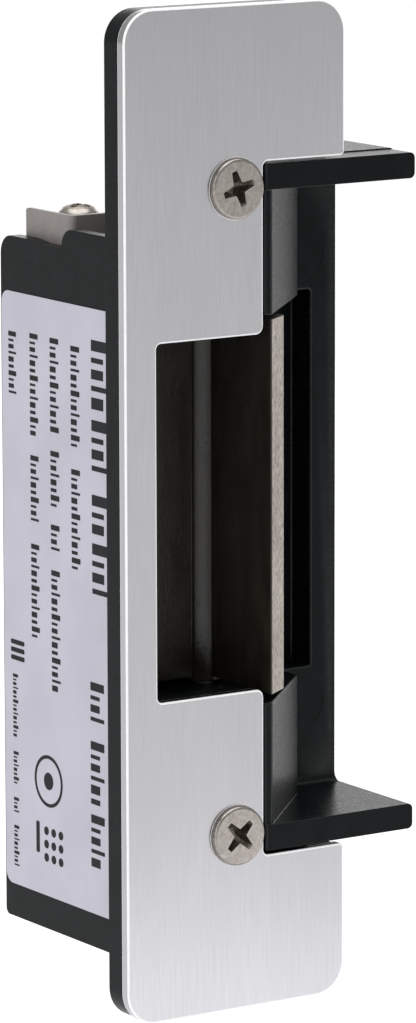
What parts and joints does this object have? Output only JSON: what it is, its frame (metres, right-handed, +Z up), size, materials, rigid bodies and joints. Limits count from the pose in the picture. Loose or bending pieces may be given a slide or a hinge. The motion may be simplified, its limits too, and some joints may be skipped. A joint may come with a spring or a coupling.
{
  "type": "electric door strike",
  "caption": "Electric door strike with a flat faceplate, an extended lip, a swinging keeper over a latch cavity, and a case behind that holds a solenoid lock.",
  "frame": {"origin": "middle of the lower seat: on the faceplate's centre line, on the back face of the flange where its lower end rests on the door frame", "axes": "+Z up along the faceplate, +Y back into the door frame, +X across the plate towards the extended lip"},
  "size_m": [0.0423, 0.0323, 0.1238],
  "materials": {
    "brushed_faceplate": "vertically brushed stainless steel",
    "black_casting": "satin black painted zinc die casting",
    "keeper_casting": "nickel-plated casting with a fine sanded grain",
    "screw_steel": "nickel-plated steel",
    "zinc_steel": "zinc-plated steel",
    "spring_steel": "drawn spring wire",
    "soft_iron": "plated soft iron",
    "copper_winding": "enamelled copper wire",
    "bobbin_plastic": "moulded nylon",
    "block_plastic": "warm grey moulded plastic",
    "brass": "stamped brass",
    "label_film": "silver-grey printed film",
    "lead_insulation": "sleeved wire"
  },
  "bodies": {
    "strike_body": {"faceplate": "brushed_faceplate", "faceplate_screw_upper": "screw_steel", "faceplate_screw_lower": "screw_steel", "strike_frame": "black_casting", "keeper_pivot_pin": "zinc_steel", "keeper_spring": "spring_steel", "case_shell": "black_casting", "rear_cover": "black_casting", "cover_screw_1": "zinc_steel", "cover_screw_2": "zinc_steel", "cover_screw_3": "zinc_steel", "cover_screw_4": "zinc_steel", "case_screw_upper": "zinc_steel", "case_screw_lower": "zinc_steel", "side_label": "label_film", "terminal_block": "block_plastic", "terminal_clamp_1": "brass", "terminal_clamp_2": "brass", "terminal_screw_1": "screw_steel", "terminal_screw_2": "screw_steel", "lock_lever_pin": "zinc_steel", "lock_lever_spacer": "brass", "lock_lever_clip": "spring_steel", "solenoid_yoke": "soft_iron", "solenoid_top_plate": "soft_iron", "coil_bobbin": "bobbin_plastic", "coil_winding": "copper_winding", "pole_piece": "soft_iron", "plunger_spring": "spring_steel", "solenoid_screw_1": "zinc_steel", "solenoid_screw_2": "zinc_steel", "coil_lead_1": "lead_insulation", "coil_lead_2": "lead_insulation"},
    "keeper": {"keeper": "keeper_casting"},
    "lock_lever": {"lock_lever": "zinc_steel"},
    "plunger": {"plunger": "soft_iron", "plunger_link_pin": "zinc_steel"}
  },
  "joints": [
    {"name": "keeper_swing", "type": "hinge", "parent": "strike_body", "child": "keeper", "pos_m": [0.0056, 0.0121, 0.058], "axis": [0, 0, 1], "range_deg": [0, 80], "stiffness_Nm_per_rad": 0.02, "springref_deg": -20.05, "deforming": ["keeper_spring"]},
    {"name": "plunger_slide", "type": "slide", "parent": "strike_body", "child": "plunger", "axis": [0, 0, 1], "range_m": [0, 0.0024], "stiffness_N_per_m": 150, "springref_m": 0.005, "deforming": ["plunger_spring"]},
    {"name": "lock_lever_turn", "type": "hinge", "parent": "strike_body", "child": "lock_lever", "pos_m": [-0.0095, 0.0176, 0.049], "axis": [0, -1, 0], "range_deg": [0, 17.91]}
  ],
  "couplings": [
    {"joint": "lock_lever_turn", "follows": "plunger_slide", "rad_per_m": 130.21}
  ]
}
